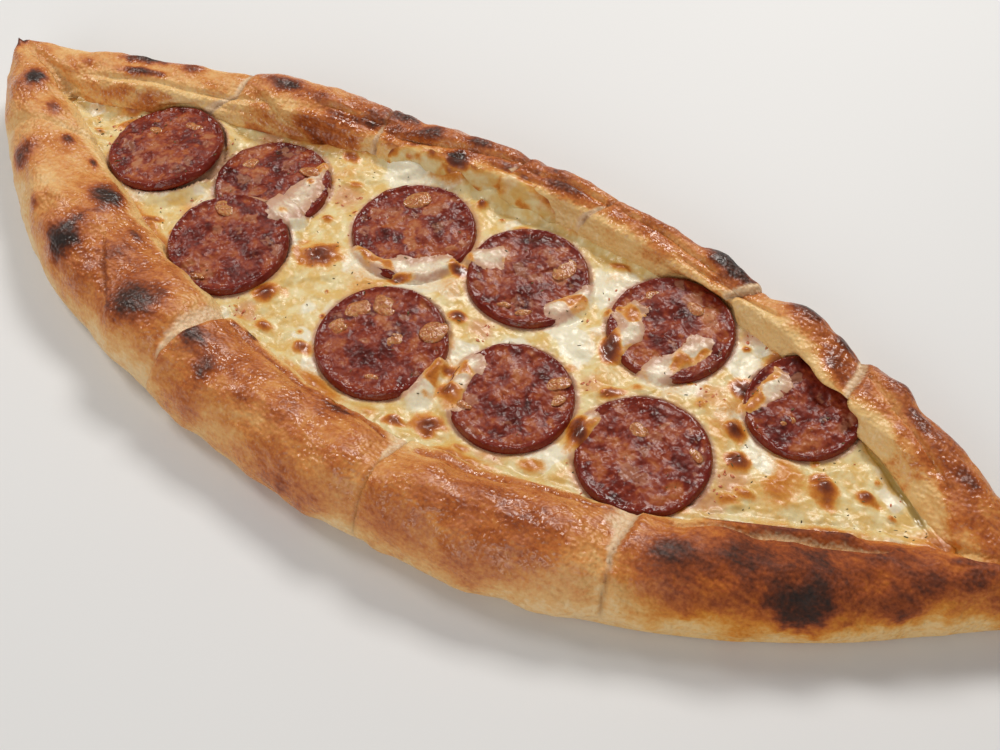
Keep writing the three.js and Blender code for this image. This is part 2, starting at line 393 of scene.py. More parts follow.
flap = bell(beside(raw_plan, flap_line), flap_half) * smooth(0.4, 0.6, rise)
flap *= smooth(103, 116, raw_x) * smooth(156, 142, raw_x)
swelling += flap_height * flap * on_top

# The far roll was folded over twice, so a broken furrow runs along above its inner lip.
wander = inward - 0.74 + 0.05 * lumps(raw, 22, 9)
furrow = bell(wander, 0.035) * smooth(-0.35, 0.1, lumps(raw, 17, 10))
furrow *= farness * smooth(0.55, 0.7, rise) * smooth(176, 160, np.abs(raw_x))
swelling -= 1.1 * furrow
swelling += 0.7 * bell(wander - 0.12, 0.08) * farness * smooth(0.5, 0.6, rise)

# Scorched blisters stand up a little and colour the skin around them. The two low near marks in
# the middle also stand for painted shade.
toast_noise = 0.5 * lumps(raw, 24, 11) + 0.3 * lumps(raw, 10, 12)
blotches = 0.55 * lumps(raw, 5, 13) + 0.45 * lumps(raw, 2.4, 14)
burn_and_shade_marks = []
for side, marks in ((-1, near_scorch_and_shade), (1, far_scorch)):
    profile = near_rows if side < 0 else far_rows
    top_rows = profile[(profile[:, 0] < 0.995) & (profile[:, 1] > 0.2)]
    for x, share, long_half, wide_half, dark in marks:
        t = np.array([x / (half_length + (opening_half - half_length) * share)])
        outer_spot, inner_spot = outer_line(t, side)[0], inner_line(t, side)[0]
        level = np.interp(share, *top_rows.T) * crest(t, side)[0]
        middle = np.append(outer_spot + share * (inner_spot - outer_spot), level)
        ahead = outer_line(t + 0.01, side)[0] - outer_spot
        ahead = np.append(ahead / np.hypot(*ahead), 0)
        offset = raw - middle
        along = offset @ ahead
        across = np.sqrt(np.maximum((offset ** 2).sum(1) - along ** 2, 0))
        away = np.hypot(along / long_half, across / wide_half) * (1 + 0.34 * blotches)
        burn_and_shade_marks.append((dark * 0.98, 1 / (1 + (away / 1.05) ** 4)))
        swelling += 0.7 * np.exp(-(away ** 2) * 0.5) + 0.35 * blotches * np.exp(-(away ** 2) * 0.4)

# The far roll bulges beside one of its slashes, and nothing swells far into the well.
bulge_x, bulge_reach, bulge_height = 72, 10, 1.5
bulge = bell(raw_x - bulge_x, bulge_reach) * smooth(40, 56, raw_y)
swelling += bulge_height * bulge * skin
swelling = np.minimum(swelling, 0.3 + 3 * (1 - smooth(0.8, 0.95, inward)))
skin_points = raw + normals * (swelling * off_table)[:, None]
skin_x, skin_plan = skin_points[:, 0], skin_points[:, :2]

# Where a slice lies against the rim, the soft dough has taken its round edge.
for middle, right, ahead, up, radius in seats.values():
    offset = skin_points - middle
    level = offset @ up
    flat_out = offset - level[:, None] * up
    reach = np.maximum(np.linalg.norm(flat_out, axis=1), 1)
    shortfall = np.maximum(radius + 0.5 - reach, 0) * smooth(-4, -1, level)
    shortfall *= smooth(7, 3.4, level) * (inward > 0.6)
    skin_points += flat_out / reach[:, None] * shortfall[:, None]

# Beside the last slice on the right the roll leans out over the slice's edge.
lean_x, lean_reach, lean_push = 127, 16, (-2.4, -4.8, 0.3)
leaning = bell(skin_x - lean_x, lean_reach) * farness
leaning *= smooth(0.58, 0.7, rise) * smooth(0.45, 0.85, inward)
skin_points += np.outer(leaning, lean_push)

# The left tip is pinched to a small dark nub that points up and away.
nub_place, nub_reach, nub_push = (-206.5, 16.5, 24), 5.0, (-2.6, 1.2, 2.8)
nub = bell(np.linalg.norm(skin_points - nub_place, axis=1), nub_reach)
skin_points += np.outer(nub, nub_push)
skin_points[:, 2] = np.maximum(skin_points[:, 2], 0)

# How brown the skin is, 0 to 1: the foot and the inside of the rim stay pale. Parts of it are
# painted shade and a painted highlight, marked below.
foot_level = rise + 0.16 * toast_noise
# Low on the near wall in the middle the foot is browner: partly browning, partly painted shade.
foot_level += 0.24 * bell(skin_x + 5, 42) * (1 - farness)
foot_pale = smooth(0.16, 0.86, foot_level) * (inward < 0.5) + (inward >= 0.5)
right_end = smooth(85, 125, skin_x)
near_toast_and_shade = 0.03 + 0.34 * foot_pale + 0.04 * smooth(0.2, 0.5, inward)
near_toast_and_shade -= 0.3 * smooth(0.84, 0.96, inward) * (1 - 0.6 * right_end)
near_toast_and_shade += 0.25 * right_end * foot_pale - 0.1 * smooth(-110, -150, skin_x)
for line, *_ in slashes[:3]:
    near_toast_and_shade -= 0.16 * bell(beside(skin_plan, line), 13) * smooth(0.75, 0.15, inward)
# On the far left the crest is paler, partly a painted highlight, and the inner wall and the corner
# at the tip are browner, partly painted shade.
far_left = smooth(-60, -100, skin_x)
far_toast_and_light = 0.1 + 0.34 * foot_pale - 0.2 * far_left * foot_pale
far_toast_and_light -= (0.04 + 0.2 * (1 - far_left)) * smooth(0.58, 0.88, inward)
far_toast_and_light += 0.24 * smooth(0.1, 0.7, lumps(skin_points, 13, 16)) * smooth(0.5, 0.7, inward)
far_toast_and_light += 0.34 * smooth(-135, -165, skin_x) * smooth(0.7, 0.95, inward)
far_toast_and_light -= smooth(60, 110, skin_x) * (0.06 + 0.14 * smooth(0.5, 0.8, inward))
toast_and_painted_light = near_toast_and_shade * (1 - farness) + far_toast_and_light * farness
toast_and_painted_light += 0.24 * toast_noise + 0.09 * blotches + 0.04 * dents + 0.1 * dimples
toast_and_painted_light = np.maximum(toast_and_painted_light, 0.02)
scorch_and_shade = np.zeros(len(skin_points))
for dark, heat in burn_and_shade_marks:
    toast_and_painted_light = np.maximum(toast_and_painted_light, toast_and_painted_light + (dark - toast_and_painted_light) * heat)
    scorch_and_shade = np.maximum(scorch_and_shade, dark * heat)
for browned in (fold_brown, 0.95 * smooth(0.2, 0.7, nub), 0.7 * smooth(0.35, 0.8, flap)):
    toast_and_painted_light = np.maximum(toast_and_painted_light, browned)
toast_and_painted_light = np.clip(toast_and_painted_light * (1 - 0.35 * crease), 0, 1)
gloss = 1 - 0.75 * right_end * (1 - farness)

# The lip over the cheese stays the yellow of buttered dough.
lip_field = farness * smooth(0.55, 0.82, inward) * smooth(0.3, 0.5, rise)
lip_field += (1 - farness) * smooth(0.82, 0.95, inward) * (1 - 0.8 * right_end)


def ring_quads(rings, around):
    """Faces between closed rings of points that follow one another."""
    faces = []
    for low in range(0, (rings - 1) * around, around):
        high = low + around
        for i in range(around):
            j = (i + 1) % around
            faces.append([low + i, low + j, high + j, high + i])
    return faces


def fan_faces(first_ring, last_ring):
    """Strips that close a loop of columns from its near side straight across to its far one."""
    faces = []
    for i in range(columns - 1):
        left, right = (around - i) % around, (around - i - 1) % around
        corners = list(dict.fromkeys([i, i + 1, right, left]))
        faces.append([first_ring + c for c in reversed(corners)])
        faces.append([last_ring + c for c in corners])
    return faces


def mesh_piece(name, points, faces, finish, fields, solids):
    """A piece: its mesh (points in millimetres), point fields, finish and place in the part."""
    mesh = bpy.data.meshes.new(name)
    mesh.from_pydata((points * MM).tolist(), [], faces)
    mesh.shade_smooth()
    for field, values in fields.items():
        layer = mesh.attributes.new(field, "FLOAT", "POINT")
        layer.data.foreach_set("value", np.ascontiguousarray(values, np.float32))
    mesh.materials.append(finish)
    mesh.validate()
    piece = put(name, mesh)
    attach(piece, "root")
    if solids:
        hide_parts(*solids)


class Wire:
    """An output socket in a material. Sums and products of wires and numbers add Math nodes."""

    def __init__(self, tree, socket=None):
        self.tree = tree
        self.socket = socket

    def make(self, kind, inputs, output=0, **settings):
        """Adds a node: its settings first, then the values or wires of its sockets."""
        node = self.tree.nodes.new("ShaderNode" + kind)
        for name, value in settings.items():
            setattr(node, name, value)
        for name, value in inputs.items():
            if isinstance(value, Wire):
                self.tree.links.new(value.socket, node.inputs[name])
            else:
                node.inputs[name].default_value = value
        return Wire(self.tree, node.outputs[output])

    def maths(self, operation, first, second):
        return self.make("Math", {0: first, 1: second}, operation=operation)

    def __add__(self, other):
        return self.maths("ADD", self, other)

    def __sub__(self, other):
        return self.maths("SUBTRACT", self, other)

    def __rsub__(self, other):
        return self.maths("SUBTRACT", other, self)

    def __mul__(self, other):
        return self.maths("MULTIPLY", self, other)

    __radd__ = __add__
    __rmul__ = __mul__

    def step(self, low, high):
        """0 below low, 1 above high, and a soft ramp between."""
        inputs = {"Value": self, "From Min": low, "From Max": high}
        return self.make("MapRange", inputs, interpolation_type="SMOOTHSTEP")

    def blend(self, first, second):
        """A colour that goes from the first to the second as this wire goes from 0 to 1."""
        colours = [c if isinstance(c, Wire) else (*c, 1) for c in (first, second)]
        inputs = {0: self, 6: colours[0], 7: colours[1]}
        return self.make("Mix", inputs, 2, data_type="RGBA")

    def ramp(self, *stops):
        """A colour that passes these stops, each a place from 0 to 1 and a colour."""
        wire = self.make("ValToRGB", {"Fac": self})
        elements = wire.socket.node.color_ramp.elements
        while len(elements) < len(stops):
            elements.new(1)
        for element, (place, colour) in zip(elements, stops):
            element.position = place
            element.color = (*colour, 1)
        return wire

    def field(self, name):
        return self.make("Attribute", {}, "Fac", attribute_name=name)

    def noise(self, place, size, detail):
        inputs = {"Vector": place, "Scale": 1 / (size * MM), "Detail": detail}
        return self.make("TexNoise", inputs, "Fac")

    def feed(self, node, socket):
        self.tree.links.new(self.socket, node.inputs[socket])

    def bump(self, shader, strength, distance):
        """Makes the surface stand up and down with this wire."""
        inputs = {"Strength": strength, "Distance": distance, "Height": self}
        self.make("Bump", inputs, "Normal").feed(shader, "Normal")


def new_finish(name, constants):
    """A material, its shader with these constants, a wire to add nodes from, and coordinates."""
    material = bpy.data.materials.new(name)
    material.use_nodes = True
    shader = material.node_tree.nodes["Principled BSDF"]
    for socket, value in constants.items():
        shader.inputs[socket].default_value = value
    wire = Wire(material.node_tree)
    return material, shader, wire, wire.make("TexCoord", {}, "Object")


crust_finish, shader, wire, place = new_finish("baked_crust", {
    "Coat Roughness": 0.16, "Specular IOR Level": 0.5, "Subsurface Weight": 0.08,
    "Subsurface Radius": (1, 0.5, 0.25), "Subsurface Scale": 0.003,
})
stretch = {"Vector": place, "Rotation": (0, 0, 0.5), "Scale": (0.45, 1, 1)}
drawn = wire.make("Mapping", stretch, "Vector")
mottle = wire.noise(place, 7, 5)
wrinkle = wire.noise(drawn, 2.4, 5)
freckles = wire.noise(place, 1.3, 4)
flecks = wire.noise(place, 0.6, 2)
# The toast field holds browning and, in a few marked places, painted shade and a painted
# highlight.
browning = wire.field("toast_and_painted_light") + (mottle - 0.5) * 0.18 + (wrinkle - 0.5) * 0.36
browning = browning + (freckles - 0.5) * 0.36
skin_colour = browning.ramp(
    (0, (0.85, 0.6, 0.31)), (0.14, (0.8, 0.46, 0.17)), (0.32, (0.69, 0.28, 0.07)),
    (0.48, (0.52, 0.15, 0.032)), (0.62, (0.32, 0.068, 0.012)), (0.76, (0.15, 0.028, 0.005)),
    (0.88, (0.055, 0.013, 0.004)), (1, (0.02, 0.009, 0.006)),
)
buttered = wire.field("lip") * (1 - browning.step(0.14, 0.4)) * 0.6
skin_colour = buttered.blend(skin_colour, (0.86, 0.58, 0.23))
crumb_colour = freckles.step(0.3, 0.7).blend((0.78, 0.5, 0.27), (0.88, 0.66, 0.42))
bare = (wire.field("crumb") + (freckles - 0.5) * 0.4).step(0.2, 0.8)
surface = bare.blend(skin_colour, crumb_colour)
# The dark line down each slash is painted shade in its crevice.
surface = (wire.field("slash_crevice_shade") * 0.6).blend(surface, (0.3, 0.12, 0.035))
deeper = {"Saturation": 1.12, "Value": 0.95, "Fac": 1 - wire.field("gloss"), "Color": surface}
wire.make("HueSaturation", deeper, "Color").feed(shader, "Base Color")
glaze = browning.step(0.14, 0.42) * mottle.step(0.34, 0.62) * (1 - bare)
glaze = glaze * (1 - browning.step(0.5, 0.75) * 0.4) * wire.field("gloss")
glaze = glaze + wire.field("lip") * (1 - bare) * 0.4
dull = 0.5 + (1 - wire.field("gloss")) * 0.42
(dull - glaze * 0.3 + (freckles - 0.5) * 0.2).feed(shader, "Roughness")
(glaze * 0.12).feed(shader, "Coat Weight")
relief = wire.noise(drawn, 3.0, 1) * 0.7 + wire.noise(place, 1.2, 0) * 0.7 + flecks * 0.1
relief.bump(shader, 0.9, 0.0008)

ring_faces = ring_quads(rows, around)
crust_fields = {"toast_and_painted_light": toast_and_painted_light, "crumb": crumb, "slash_crevice_shade": slash_crevice_shade, "gloss": gloss, "lip": lip_field}
mesh_piece("crust", skin_points, ring_faces + fan_faces(0, (rows - 1) * around), crust_finish,
           crust_fields, ["dough"])


# ---- Cheese ----
# Mild white cheese, grated over the dough and melted to one sheet: creamy hollows, milky
# pools, browned blisters, and lumps that ran over some of the sausage slices.
cheese_columns = 480
cheese_rows = 150
tuck = 2.6  # how far the sheet reaches into the wall of the rim
cheese_level = 14.2
underside = 9.0


def plane_under(seat, x, y):
    """Height of a slice's underside plane over a place in plan, and distance to its axis."""
    middle, _, _, up, _ = seat
    level = middle[2] - (up[0] * (x - middle[0]) + up[1] * (y - middle[1])) / up[2]
    return level, np.hypot(x - middle[0], y - middle[1])


# Browned blisters: x, y, length, width, the way they run (degrees), and how dark they are.
blisters = [
    (-48, 0, 15, 12, 30, 0.85), (-53, -23, 10, 8, 34, 0.85), (-29, -34, 7.5, 6, 0, 0.7),
    (-45, -34, 6.5, 5, 0, 0.65), (-57, 15, 6.5, 5, 0, 0.6), (-107, -20, 9, 5, 34, 0.65),
    (-19, 5.5, 10, 4, 34, 0.75), (-4, 20.5, 9, 7, 0, 0.95), (7, 3.5, 8, 6, 0, 0.9),
    (23, -36, 10, 8, 34, 0.8), (13, -41, 6, 5, 0, 0.75), (21, -23, 9, 8, 0, 0.8),
    (17, -16, 9, 6, 34, 0.7), (64, -14, 12.5, 8, 118, 0.98), (64, 5, 10, 5, 34, 0.72),
    (55, 20, 14, 7, 118, 0.92), (-15, 50, 5.5, 5, 0, 0.8), (99, 30, 10, 10, 0, 0.92),
    (102, 45, 8, 12, 10, 0.62), (103, 14, 9, 8, 0, 0.88), (109, 5, 8.5, 7.5, 0, 0.88),
    (135, 11, 10, 9, 0, 0.85), (147, 15, 7.5, 6.5, 0, 0.78), (156, 13, 4, 3, 0, 0.5),
    (123, 2, 10, 5, 10, 0.5), (116, -4, 8, 5, 10, 0.55), (113, -8, 9, 5, 10, 0.5),
    (-150, 12, 12, 6, 60, 0.55), (-156, 4, 6, 5, 0, 0.5), (-98, 27, 8, 4, 0, 0.6),
    (-152, 20, 15, 8, 50, 0.66), (-113, 37, 10, 6, 35, 0.75), (-84, 37, 10, 5, 20, 0.68),
    (-68, 43, 9, 5, 0, 0.72), (-58, 33, 6, 4, 20, 0.55), (4, 48, 9, 5, 20, 0.62),
    (40, 52, 9, 4, 10, 0.6), (36, -38, 8, 4, 20, 0.5), (57, -31, 9, 6, 20, 0.5),
    (103, -19, 8, 5, 20, 0.5), (-133, -17, 7, 5, 0, 0.5), (128, 26, 6, 4, 0, 0.4),
    (70, 12, 6, 4, 0, 0.45), (48, 6, 5, 4, 0, 0.42), (90, 17, 6, 5, 0, 0.45),
]
# Milky pools: x, y and half their reach.
pools = [
    (9, 19.5, 6), (15, -9, 6), (78, 22, 9), (36, 20, 6), (45, 15.5, 6), (94, 39, 6),
    (99, 18, 5), (115, 14, 7), (-69, 5, 7), (-45, 47, 8), (-32, 6, 9), (-15, 10, 8),
    (44, 43, 8), (96, 50, 5), (-96, -2, 6), (30, 2, 6), (-62, -4, 5), (58, -26, 5),
]
# Cheese that ran over the slices: line of the run, half its width, its height over the slice.
runs = [
    ([(-38, 8), (-29, 7.5), (-17, 11), (-8, 20)], 3.4, 1.5),
    ([(-69, 6), (-71, 20), (-73, 32)], 3.8, 0.9),
    ([(-3, 27), (3, 31)], 3.4, 1.2),
    ([(31, 24), (36, 34)], 3.6, 1.4),
    ([(13, -16), (15, -30)], 3.4, 1.3),
    ([(21, -11), (24, -24)], 3.6, 1.4),
    ([(72, 18), (76, 27), (80, 35)], 4.8, 1.3),
    ([(56, 20), (58, 30), (54, 36)], 4.2, 1.4),
    ([(64, -21), (65, -8)], 3.8, 1.3),
    ([(103, 24), (106, 36)], 3.4, 1.3),
]
# Lumps that swelled up against the far rim: x, y, half their reach and their height.
climbs = [(-46, 50, 7, 3.2), (-28, 54, 8, 2.8), (-13, 57, 7, 3.0), (2, 57, 7, 3.6)]
# Reddish stains where the sausage's fat ran: x, y, half their reach.
stains = [
    (-54, -32, 5), (91, 22, 6), (58, 5, 5), (111, -2, 8), (92, 52, 6), (72, -25, 6),
    (15, 4, 6), (-99, -8, 6), (-58, 28, 7), (-98, 34, 6), (45, -33, 6), (106, -12, 8),
]


def slice_top(flat, number, radius):
    """Height of a slice's top over its underside plane: a rim, lumps and small pits."""
    spots = np.column_stack([flat + 100 * number, np.zeros(len(flat))])
    edge_share = np.hypot(*flat.T) / radius
    rim = 0.45 * bell(edge_share - 0.93, 0.05)
    top = slice_thickness + slice_crown * (1 - edge_share ** 2) + rim + 0.35 * lumps(spots, 9, 32)
    top += 0.32 * lumps(spots, 3.6, 33) + 0.13 * lumps(spots, 1.7, 34)
    return top - 0.4 * smooth(0.5, 0.85, lumps(spots, 2.6, 35))


def oval(x, y, spot_x, spot_y, length, width, way):
    """How far a place is from an oval's centre, 1 on its edge."""
    turn = np.radians(way)
    dx, dy = x - spot_x, y - spot_y
    along = dx * np.cos(turn) + dy * np.sin(turn)
    across = dy * np.cos(turn) - dx * np.sin(turn)
    return np.hypot(along / length, across / width) * 2


def cheese_sheet(x, y):
    """Height of the cheese, and its fields by name, at places in plan."""
    spots = np.stack([x, y, np.zeros_like(x)], 1)
    t = np.clip(x / opening_half, -0.999, 0.999)
    far_wall = inner_line(t, 1)[:, 1] - y
    to_wall = np.minimum(y - inner_line(t, -1)[:, 1], far_wall)
    crown = 1.2 * (1 - (x / opening_half) ** 2)
    waves = 0.5 * np.sin(x / 17 + 1) * np.sin(y / 11) + 0.3 * np.sin(x / 7.3 + y / 9)
    coarse = lumps(spots, 13, 21)
    middling = lumps(spots, 6, 22)
    small = lumps(spots, 3, 23)
    creases = 1 - np.abs(lumps(spots * (1, 1.4, 1), 8, 24)) * 2
    level = cheese_level + crown + waves + 0.75 * coarse + 0.5 * middling + 0.28 * small
    level += 0.4 * np.maximum(creases, 0) ** 2 + 0.12 * lumps(spots, 1.5, 25)
    level += 1.3 * smooth(3.5, 0, to_wall)
    dome = np.zeros_like(x)
    for spot_x, spot_y, half, climb in climbs:
        away = np.hypot(x - spot_x, (y - spot_y) * 1.3) / half * (1 + 0.3 * middling)
        dome = np.maximum(dome, climb * smooth(1.2, 0, away))

    brown = 0.1 + 0.1 * coarse + 0.1 * middling
    by_wall = smooth(4, 0, to_wall) * smooth(166, 150, np.abs(x))
    brown += 0.24 * by_wall * np.clip(0.5 + coarse, 0, 1)
    brown += 0.18 * smooth(90, 125, x) * (1 - smooth(4, 16, y - 0.05 * x)) * (0.7 + 0.6 * coarse)
    milk = smooth(0.2, 0.9, 0.5 * lumps(spots, 16, 26) + 0.5 * middling)
    stain = np.zeros_like(x)
    rough = 1 + 0.2 * middling + 0.18 * small

    for *spot, dark in blisters:
        away = oval(x, y, *spot) * rough
        swell = 1.6 * np.clip(1 - away ** 2 * 0.7, 0, 1) ** 1.3 * (0.85 + 0.4 * small)
        dome = np.maximum(dome, swell * min(dark + 0.1, 1))
        brown = np.maximum(brown, 0.98 * dark * smooth(1.65, 0.05, away))
        milk = milk * (1 - smooth(1.6, 0.8, away))
    for spot_x, spot_y, half in pools:
        away = np.hypot(x - spot_x, y - spot_y) / half * rough
        milk = np.maximum(milk, smooth(1.5, 0.6, away))
        level += 0.3 * smooth(1.5, 0.3, away)
    level += dome

    to_slice = np.full_like(x, 99)
    over = np.full_like(x, -1e3)
    for number, seat in enumerate(seats.values()):
        under, away = plane_under(seat, x, y)
        rim = away - seat[4]
        to_slice = np.minimum(to_slice, rim)
        level = np.where(rim > 0, level + (under + 1.3 - level) * smooth(6, 0, rim) * 0.8, level)
        level = np.where(rim <= 0.2, np.minimum(level, under + 1.2), level)
        stain = np.maximum(stain, 0.45 * smooth(5, 0.5, rim))
        draped = under + slice_thickness * smooth(7, -1, rim)
        over = np.where(rim < 7, np.maximum(over, draped), over)
        inside = away < seat[4] * 0.985
        offset = np.stack([x, y, under], 1)[inside] - seat[0]
        flat = np.stack([offset @ seat[1], offset @ seat[2]], 1)
        over[inside] = under[inside] + slice_top(flat, number, seat[4])
    for line, half, rise_over in runs:
        uneven = np.clip(1 + 0.5 * coarse + 0.4 * middling + 0.08 * small, 0.65, 2)
        gap = np.abs(beside(spots[:, :2], line)) * uneven
        share = smooth(half * 1.9, half * 0.1, gap)
        brown = np.maximum(brown, 0.52 * share * smooth(0, 0.5, middling))
        top = over - 0.5 + (0.85 + 0.15 * rise_over) * share + 0.4 * dome
        raised = np.maximum(top - level, 0) * smooth(0, 0.4, share)
        level = np.where(over > 0, level + raised, level)
        milk = np.maximum(milk, 0.8 * share * (1 - smooth(0.3, 0.6, brown)))
    film = smooth(0.85, 0.1, level - over) * smooth(2, 0, to_slice)
    for spot_x, spot_y, half in stains:
        away = np.hypot(x - spot_x, y - spot_y) / half * rough
        stain = np.maximum(stain, 0.8 * smooth(1.5, 0.3, away))
    # A dark olive groove where the cheese meets the far wall on the right: oil, and painted shade
    # in that crease.
    oil_and_crease_shade = bell(far_wall - 1.6, 1.4) * smooth(100, 122, x) * smooth(170, 162, x)
    level -= 0.9 * oil_and_crease_shade
    return level, {"brown": brown, "milk": milk, "stain": stain, "oil_and_crease_shade": oil_and_crease_shade, "film": film}


# Small blisters of a few millimetres are strewn where no large one is.
scatter = np.random.default_rng(77)
while len(blisters) < 120:
    t = scatter.uniform(-0.93, 0.97)
    near_y, far_y = (inner_line(np.array([t]), side)[0, 1] for side in (-1, 1))
    spot = (t * opening_half, scatter.uniform(near_y + 1, far_y - 1))
    clear = all(np.hypot(spot[0] - b[0], spot[1] - b[1]) > b[2] * 0.8 for b in blisters)
    if clear and spot[0] < 150:
        size = scatter.uniform(1.6, 4.2)
        wide = size * scatter.uniform(0.6, 1)
        blisters.append((*spot, size, wide, scatter.uniform(0, 180), scatter.uniform(0.35, 0.75)))

sheet_t = np.linspace(-1, 1, cheese_columns)
near_edge = inner_line(sheet_t, -1)[:, 1] - tuck
far_edge = inner_line(sheet_t, 1)[:, 1] + tuck
share = np.linspace(0, 1, cheese_rows)
column_x = sheet_t * (opening_half + tuck * 0.7)
sheet_x = np.repeat(column_x, cheese_rows)
sheet_y = (near_edge[:, None] + share * (far_edge - near_edge)[:, None]).ravel()
sheet_z, cheese_fields = cheese_sheet(sheet_x, sheet_y)
sheet_points = [np.stack([sheet_x, sheet_y, sheet_z], 1)]
for edge_y in (near_edge, far_edge):
    sheet_points.append(np.stack([column_x, edge_y, np.full(cheese_columns, underside)], 1))
count = cheese_columns * cheese_rows
far_count = count + cheese_columns
sheet_faces = []
for i in range(cheese_columns - 1):
    first, after = i * cheese_rows, (i + 1) * cheese_rows
    for a in range(first, after - 1):
        b = a + cheese_rows
        sheet_faces.append([a, b, b + 1, a + 1])
    near, far = count + i, far_count + i
    sheet_faces.append([first, near, near + 1, after])
    sheet_faces.append([after - 1, after + cheese_rows - 1, far + 1, far])
    sheet_faces.append([near, far, far + 1, near + 1])
sheet_faces.append([*range(cheese_rows), far_count, count])
end_row = reversed(range(count - cheese_rows, count))
sheet_faces.append([*end_row, far_count - 1, far_count + cheese_columns - 1])
spare = np.zeros(2 * cheese_columns)

cheese_finish, shader, wire, place = new_finish("molten_cheese", {
    "Coat Roughness": 0.08, "Specular IOR Level": 0.5, "Subsurface Weight": 0.15,
    "Subsurface Radius": (1, 0.7, 0.35), "Subsurface Scale": 0.003,
})
mottle = wire.noise(place, 5, 4)
freckles = wire.noise(place, 1.4, 3)
flecks = wire.noise(place, 0.6, 2)
cream = mottle.step(0.38, 0.62).blend((0.75, 0.5, 0.16), (0.82, 0.68, 0.36))
milky = (wire.field("milk") + (freckles - 0.5) * 0.4).step(0.3, 0.75)
cream = milky.blend(cream, (0.87, 0.8, 0.6))
stained = (wire.field("stain") + (mottle - 0.5) * 0.5 + (freckles - 0.5) * 0.4).step(0.25, 0.95)
cream = (stained * 0.75).blend(cream, (0.66, 0.26, 0.11))
# The dark olive band is partly real oil and partly painted shade where the cheese meets the wall.
oil_and_shade_mask = (wire.field("oil_and_crease_shade") + (freckles - 0.5) * 0.2).step(0.2, 0.8)
cream = (oil_and_shade_mask * 0.85).blend(cream, (0.32, 0.19, 0.02))
thin = (wire.field("film") + (freckles - 0.5) * 0.8).step(0.1, 1)
cream = (thin * 0.8).blend(cream, (0.54, 0.27, 0.18))
browning = wire.field("brown") + (freckles - 0.5) * 0.22 + (flecks - 0.5) * 0.1
toasted = browning.ramp(
    (0, (0.78, 0.52, 0.18)), (0.28, (0.76, 0.38, 0.08)), (0.45, (0.6, 0.2, 0.02)),
    (0.62, (0.36, 0.08, 0.006)), (0.8, (0.17, 0.028, 0.003)), (1, (0.06, 0.011, 0.002)),
)
browning.step(0.12, 0.4).blend(cream, toasted).feed(shader, "Base Color")
(0.36 + (freckles - 0.5) * 0.3 - oil_and_shade_mask * 0.22).feed(shader, "Roughness")
(0.04 + oil_and_shade_mask * 0.6 + browning.step(0.4, 0.7) * 0.45).feed(shader, "Coat Weight")
relief = wire.noise(place, 4, 1) + wire.noise(place, 1.6, 0) * 0.35 + flecks * 0.05
relief.bump(shader, 0.9, 0.0007)
mesh_piece("molten_cheese", np.vstack(sheet_points), sheet_faces, cheese_finish,
           {name: np.append(values, spare) for name, values in cheese_fields.items()},
           ["cheese"])


# The cheese that crept up the rim follows the crust's own surface, a little above it.
highest = smooth(-60, -46, skin_x) * smooth(16, 0, skin_x)
creep = inward - 1 + 0.24 * highest * (1 + 0.1 * blotches + 0.7 * toast_noise)
edge_of_creep = bell(creep, 0.07)
creep = smooth(-0.05, 0.14, creep) * smooth(0.05, 0.4, highest) * (rise > 0.4) * farness
creeping = skin_points + normals * (0.9 * creep - 0.2 + 0.15 * blotches)[:, None]
kept = [face for face in ring_faces if creep[face].max() > 0.02]
used, kept = np.unique(kept, return_inverse=True)
brown_skin = 0.19 + 0.26 * edge_of_creep + 0.5 * np.maximum(blotches, 0) + 0.12 * toast_noise
brown_skin = np.maximum(brown_skin, scorch_and_shade)[used]
rim_fields = dict.fromkeys(cheese_fields, np.zeros(len(used)))
rim_fields.update(brown=brown_skin, milk=0.25 + toast_noise[used])
mesh_piece("cheese_on_rim", creeping[used], kept.reshape(-1, 4).tolist(), cheese_finish,
           rim_fields, [])


# ---- Sausage slices ----
# Round slices of cured beef sausage, about 3 mm thick: coarse dark red meat with paler fat,
# a darker casing round the edge, glossy with the fat that melted out of them.
slice_around = 168
top_rings = 44
side_rings = 7
slice_finish, shader, wire, place = new_finish("cured_sausage", {
    "Coat Roughness": 0.07, "Specular IOR Level": 0.36,
})
warp = wire.make("TexNoise", {"Vector": place, "Scale": 330, "Detail": 2}, "Color")
bent = wire.make("VectorMath", {0: warp, 1: (0.005, 0.005, 0.005), 2: place}, "Vector",
                 operation="MULTIPLY_ADD")
grind = wire.make("TexVoronoi", {"Vector": bent, "Scale": 205, "Smoothness": 0.7}, "Color",
                  feature="SMOOTH_F1")
chunk = wire.make("SeparateColor", {"Color": grind}, "Red")
other = wire.make("SeparateColor", {"Color": grind}, "Green")
mottle = wire.noise(place, 8, 5)
freckles = wire.noise(place, 1.7, 5)
flecks = wire.noise(place, 0.7, 3)
ground = chunk * 0.56 + (mottle - 0.5) + (freckles - 0.5) * 0.65 + 0.21
meat = ground.ramp(
    (0, (0.04, 0.004, 0.002)), (0.22, (0.11, 0.009, 0.004)), (0.42, (0.2, 0.022, 0.009)),
    (0.58, (0.29, 0.048, 0.015)), (0.74, (0.39, 0.096, 0.022)), (1, (0.52, 0.22, 0.09)),
)
fatty = (other + (freckles - 0.5) * 0.5).step(0.76, 0.92)
meat = (fatty * 0.5).blend(meat, (0.44, 0.19, 0.1))
pits = 1 - (freckles + (flecks - 0.5) * 0.3).step(0.22, 0.33)
meat = (pits * 0.6).blend(meat, (0.035, 0.006, 0.003))
charred = (wire.field("rim") + (mottle - 0.5) * 0.9).step(0.4, 0.85)
(charred * 0.75).blend(meat, (0.17, 0.014, 0.007)).feed(shader, "Base Color")
(0.4 + (mottle - 0.5) * 0.5 - wire.field("rim") * 0.18).feed(shader, "Roughness")
(mottle.step(0.45, 0.62) * 0.12).feed(shader, "Coat Weight")
